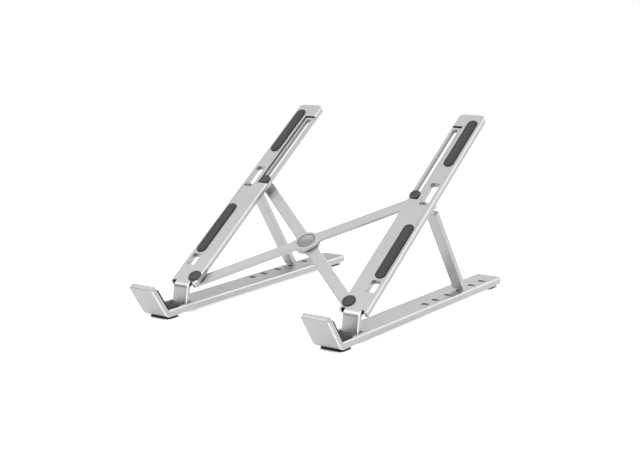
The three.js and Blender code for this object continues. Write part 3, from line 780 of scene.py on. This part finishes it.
class STAND_OT_rivet(bpy.types.Operator):
    """Make the turned rivet in the middle of the scissor"""

    bl_idname = "laptop_stand.rivet"
    bl_label = "Centre rivet"

    def execute(self, context):
        matrix = rail_frame()
        node = "centre_rivet"
        low, high = extent(node, matrix)
        centre = (low + high) / 2
        points = corners_of(node, matrix)
        reach = [(math.hypot(point.x - centre.x, point.y - centre.y), point.z) for point in points]
        profile = self.profile(low, high, reach, context.scene.stand_detail.rivet_rings)
        data = turned("centre_rivet_turned", profile, facets=72)
        middle = matrix @ Matrix.Translation((centre.x, centre.y, 0))
        surface = material("turned_rivet")
        place("centre_rivet_turned", data, middle, surface, "link_above", node)
        return {"FINISHED"}

    def profile(self, low, high, reach, rings):
        """The rivet's outline, from each CAD point's distance to the axis and its height."""
        bottom = low.z
        top = high.z
        waist = ((low + high) / 2).z
        radius = (high.x - low.x) / 2
        near = 0.1 * MM
        head_bottom = min(z for distance, z in reach if distance > radius - near)
        tail_top = max(z for distance, z in reach if distance > 0.5 * radius and z < waist)
        tail_radius = max(distance for distance, z in reach if z < waist)
        shank = max(distance for distance, z in reach if distance < 0.5 * radius)
        dish = top - min(z for distance, z in reach if distance < near and z > waist)
        rim = radius - RIVET_RIM
        tail_edge = [(0.5 * MM, 0.0), (0.1 * MM, 0.25 * MM), (0.0, 0.5 * MM)]
        head_edge = [(0.0, 0.25 * MM), (0.08 * MM, 0.08 * MM), (0.25 * MM, 0.0)]
        outline = [(0.0, bottom)]
        outline += [(tail_radius - inset, bottom + rise) for inset, rise in tail_edge]
        outline += [(tail_radius, tail_top), (shank, tail_top), (shank, head_bottom)]
        outline += [(radius - EDGE_BREAK, head_bottom), (radius, head_bottom + EDGE_BREAK)]
        outline += [(radius - inset, top - drop) for inset, drop in head_edge]
        outline += [(rim + 0.12 * MM, top), (rim, top - EDGE_BREAK)]
        for step in range(rings):
            ring_start = rim - (rim - RIVET_MIDDLE) * step / rings
            ring_end = rim - (rim - RIVET_MIDDLE) * (step + 0.75) / rings
            level = top - dish * (step + 1) / rings
            outline.append((ring_start - RING_BEVEL, level))
            outline.append((ring_end, level + RING_CREST))
        outline.append((RIVET_MIDDLE * 0.6, top - dish))
        outline.append((0.0, top - dish - 0.05 * MM))
        return outline


class STAND_OT_feet(bpy.types.Operator):
    """Finish the rubber feet and the pads in the hooks"""

    bl_idname = "laptop_stand.feet"
    bl_label = "Feet and hook pads"

    def execute(self, context):
        width = context.scene.stand_detail.rubber_round
        for side in SIDES:
            for part in ("front_foot", "rear_foot"):
                soften(f"{side}_{part}", material("foot_rubber"), material("foot_rubber"), width)
            soften(f"{side}_hook_pad", material("hook_rubber"), material("hook_rubber"), width)
        return {"FINISHED"}


class STAND_OT_stage(bpy.types.Operator):
    """Make the floor, the lamps and the camera"""

    bl_idname = "laptop_stand.stage"
    bl_label = "Stage"

    def execute(self, context):
        stage = context.scene.stand_stage
        context.scene.view_settings.view_transform = "Standard"
        self.floor()
        self.surroundings(context.scene, stage)
        self.lamp("key_lamp", *KEY_LAMP, stage.key)
        self.lamp("fill_lamp", *FILL_LAMP, stage.fill)
        self.lamp("back_lamp", *BACK_LAMP, stage.fill)
        self.card("front_card", *FRONT_CARD)
        self.card("back_card", *BACK_CARD)
        self.camera(context.scene, stage)
        return {"FINISHED"}

    def card(self, name, position, size):
        """A black card that only shows in reflections, and gives the metal its darker bands."""
        skin = Surface(f"{name}_black")
        black = skin.set(Base_Color=CARD_BLACK, Roughness=0.9, Specular_IOR_Level=0.0)
        card = rectangle(name, *size, black)
        card.location = position
        card.rotation_euler = Vector(position).to_track_quat("Z", "Y").to_euler()
        card.visible_camera = False
        card.visible_diffuse = False
        card.visible_shadow = False
        card.visible_transmission = False

    def floor(self):
        """The floor that the stand rests on."""
        ground = rectangle("floor", FLOOR_WIDTH, FLOOR_WIDTH, self.white_floor())

    def white_floor(self):
        """A floor that shades the light as white paper does, and is lifted to white for the eye."""
        skin = Surface("white_floor")
        skin.set(Base_Color=PAPER_WHITE, Roughness=0.95, Specular_IOR_Level=0.1)
        rays = skin.add("ShaderNodeLightPath").outputs
        seen = skin.calculate("MAXIMUM", rays["Is Camera Ray"], rays["Is Transmission Ray"])
        mirrored = skin.calculate("MULTIPLY", rays["Is Glossy Ray"], MIRRORED_FLOOR)
        seen = skin.calculate("MAXIMUM", seen, mirrored)
        lift = bpy.context.scene.stand_stage.floor_lift
        openness = skin.add("ShaderNodeAmbientOcclusion", {"Distance": CONTACT_REACH}).outputs["AO"]
        lifted = skin.between(openness, *CONTACT_OPENNESS, to_high=lift)
        strength = skin.calculate("MULTIPLY", seen, lifted)
        return skin.set(Emission_Color=WHITE_LIGHT, Emission_Strength=strength)

    def surroundings(self, scene, stage):
        """White to the eye and in reflections, and an even light on everything else."""
        world = bpy.data.worlds.new("studio")
        scene.world = world
        world.use_nodes = True
        world.node_tree.nodes.clear()
        sky = NodeTree(world.node_tree)
        rays = sky.add("ShaderNodeLightPath").outputs
        seen = sky.calculate("MAXIMUM", rays["Is Camera Ray"], rays["Is Transmission Ray"])
        seen = sky.calculate("MAXIMUM", seen, rays["Is Glossy Ray"])
        level = sky.blend(seen, stage.ambient, 1.0)
        light = sky.add("ShaderNodeBackground", {"Color": WHITE_LIGHT, "Strength": level})
        sky.add("ShaderNodeOutputWorld", {"Surface": light.outputs[0]})

    def lamp(self, name, position, size, power):
        """A round lamp that faces the middle of the floor."""
        data = bpy.data.lights.new(name, "AREA")
        data.shape = "DISK"
        data.size = size
        data.energy = power
        lamp = put(name, data)
        lamp.location = position
        lamp.rotation_euler = (-Vector(position)).to_track_quat("-Z", "Y").to_euler()

    def camera(self, scene, stage):
        """The camera, turned round its aim by the azimuth and raised by the elevation."""
        data = bpy.data.cameras.new("camera")
        data.sensor_width = SENSOR_WIDTH
        data.lens = stage.lens
        camera = put("camera", data)
        level = math.cos(stage.elevation)
        away = Vector(
            (
                math.sin(stage.azimuth) * level,
                -math.cos(stage.azimuth) * level,
                math.sin(stage.elevation),
            )
        )
        camera.location = Vector(stage.aim) + stage.distance * away
        camera.rotation_euler = (-away).to_track_quat("-Z", "Y").to_euler()
        scene.camera = camera


class STAND_PT_panel(bpy.types.Panel):
    """Lists the pieces of the stand and their settings"""

    bl_label = "Laptop Stand"
    bl_idname = "STAND_PT_panel"
    bl_space_type = "VIEW_3D"
    bl_region_type = "UI"
    bl_category = "Laptop Stand"

    def draw(self, context):
        layout = self.layout
        for maker in MAKERS:
            layout.operator(maker.bl_idname)
        for group in (context.scene.stand_finish, context.scene.stand_detail, context.scene.stand_stage):
            box = layout.box()
            for key in group.bl_rna.properties.keys():
                if key not in ("rna_type", "name"):
                    box.prop(group, key)


MAKERS = (
    STAND_OT_rails,
    STAND_OT_scissor,
    STAND_OT_pins,
    STAND_OT_pads,
    STAND_OT_caps,
    STAND_OT_rivet,
    STAND_OT_feet,
    STAND_OT_stage,
)
SETTINGS = {"stand_finish": StandFinish, "stand_detail": StandDetail, "stand_stage": StandStage}


def register():
    for cls in (*SETTINGS.values(), *MAKERS, STAND_PT_panel):
        bpy.utils.register_class(cls)
    for key, cls in SETTINGS.items():
        setattr(bpy.types.Scene, key, bpy.props.PointerProperty(type=cls))


def unregister():
    for key in SETTINGS:
        delattr(bpy.types.Scene, key)
    for cls in reversed((*SETTINGS.values(), *MAKERS, STAND_PT_panel)):
        bpy.utils.unregister_class(cls)


def main():
    register()
    for maker in MAKERS:
        group, action = maker.bl_idname.split(".")
        getattr(getattr(bpy.ops, group), action)()


if __name__ == "__main__":
    main()
